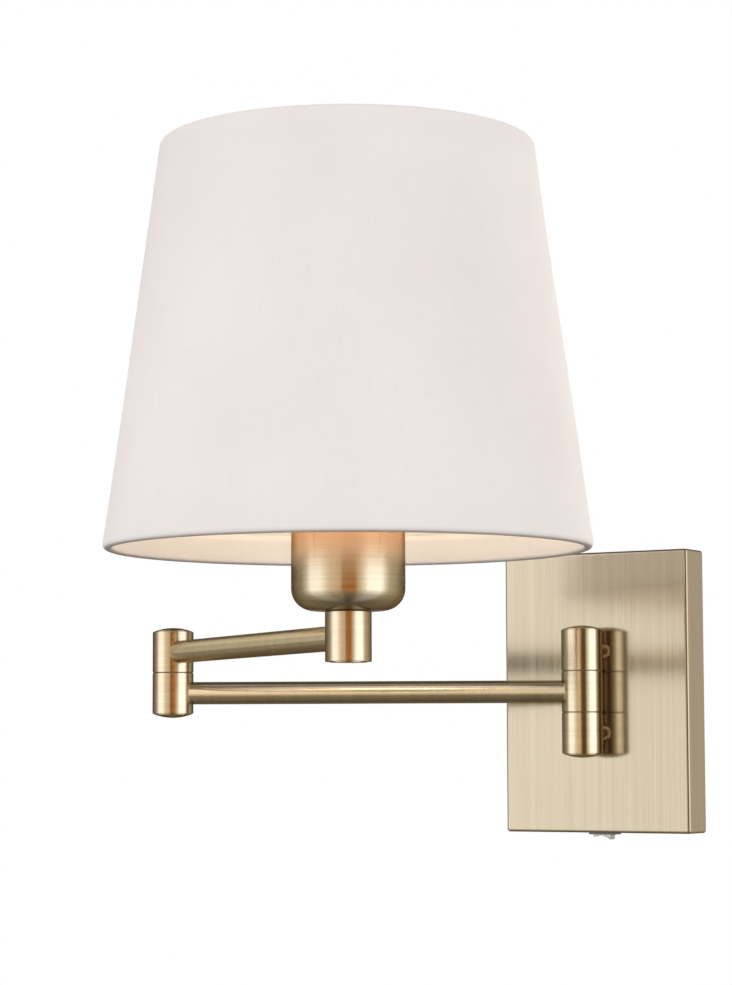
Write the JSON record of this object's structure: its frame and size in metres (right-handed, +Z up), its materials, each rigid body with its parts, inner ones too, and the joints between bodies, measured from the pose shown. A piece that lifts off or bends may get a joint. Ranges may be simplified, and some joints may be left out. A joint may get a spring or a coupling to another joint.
{
  "type": "swing arm wall sconce",
  "caption": "Wall lamp with a shallow plate, two hinged swing arms, a cup holder and a tapered drum shade; rocker switch under the plate.",
  "frame": {"origin": "centre of the wall plate's back face, on the wall's surface", "axes": "+Y into the wall, +Z up, so the lamp reaches out along -Y"},
  "size_m": [0.2697, 0.3198, 0.2898],
  "materials": {
    "antique_brass": "brushed, lacquered antique brass",
    "plain_brass": "bright turned brass of inner fittings",
    "zinc_steel": "zinc plated",
    "copper_contact": "tinned contact metal",
    "white_nylon": "moulded nylon",
    "switch_plastic": "glossy moulded",
    "dark_seam": "dark fibre washer",
    "holder_plastic": "heat proof moulded",
    "ceramic": null,
    "wire_sheath": "flexible sheathed wire",
    "grommet_rubber": "soft black rubber",
    "bulb_opal": "opal glass, lit warm",
    "bulb_metal": "plain pressed cap",
    "shade_frame": "white coated wire",
    "shade_fabric": "fine off-white textile",
    "shade_lining": "smooth warm white liner"
  },
  "bodies": {
    "base": {"backplate": "antique_brass", "wall_bracket": "zinc_steel", "hook_strip": "zinc_steel", "cover_screws": "antique_brass", "cable_grommet": "grommet_rubber", "terminal_block": "white_nylon", "terminal_clamps": "plain_brass", "terminal_screws": "zinc_steel", "earth_screw": "plain_brass", "earth_washer": "zinc_steel", "feed_wire": "wire_sheath", "switch_wire_in": "wire_sheath", "switch_wire_out": "wire_sheath", "switch_housing": "switch_plastic", "switch_blades": "copper_contact", "rocker_pin": "zinc_steel", "pivot_knuckle_top": "antique_brass", "pivot_knuckle_low": "antique_brass", "pivot_necks": "antique_brass", "neck_nuts": "plain_brass", "neck_washers": "zinc_steel", "pivot_tube": "plain_brass", "pivot_nuts": "plain_brass", "pivot_washers": "dark_seam", "pivot_caps": "antique_brass"},
    "rocker": {"switch_rocker": "switch_plastic"},
    "lower_arm": {"lower_arm_knuckle": "antique_brass", "lower_arm_tube": "antique_brass", "elbow_knuckle_low": "antique_brass", "elbow_tube": "plain_brass", "elbow_nuts": "plain_brass", "elbow_washer": "dark_seam", "elbow_cap_low": "antique_brass", "lower_arm_wire": "wire_sheath"},
    "upper_arm": {"elbow_knuckle_top": "antique_brass", "elbow_cap_top": "antique_brass", "upper_arm_tube": "antique_brass", "upper_arm_wire": "wire_sheath", "column": "antique_brass", "column_nut": "plain_brass", "column_plug": "antique_brass", "column_nipple": "plain_brass", "cup_washer": "dark_seam", "cup": "antique_brass", "lampholder_shell": "holder_plastic", "lampholder_core": "ceramic", "lampholder_thread": "plain_brass", "centre_contact": "copper_contact", "bulb_contact": "copper_contact", "bulb_cap": "bulb_metal", "bulb_glass": "bulb_opal", "fitter_ring": "shade_frame", "shade_ring_nut": "holder_plastic", "shade_spokes": "shade_frame", "shade_wire_low": "shade_frame", "shade_wire_top": "shade_frame", "shade_cloth": "shade_fabric", "shade_liner": "shade_lining"}
  },
  "joints": [
    {"name": "base_swing", "type": "hinge", "parent": "base", "child": "lower_arm", "pos_m": [0, -0.03, 0], "axis": [0, 0, 1], "range_deg": [-15.5, 62.5]},
    {"name": "elbow_swing", "type": "hinge", "parent": "lower_arm", "child": "upper_arm", "pos_m": [-0.16853, -0.11773, 0], "axis": [0, 0, 1], "range_deg": [-120, 8]},
    {"name": "switch_rock", "type": "hinge", "parent": "base", "child": "rocker", "pos_m": [0, -0.0085, -0.0638], "axis": [0, 1, 0], "range_deg": [-16, 0]}
  ]
}
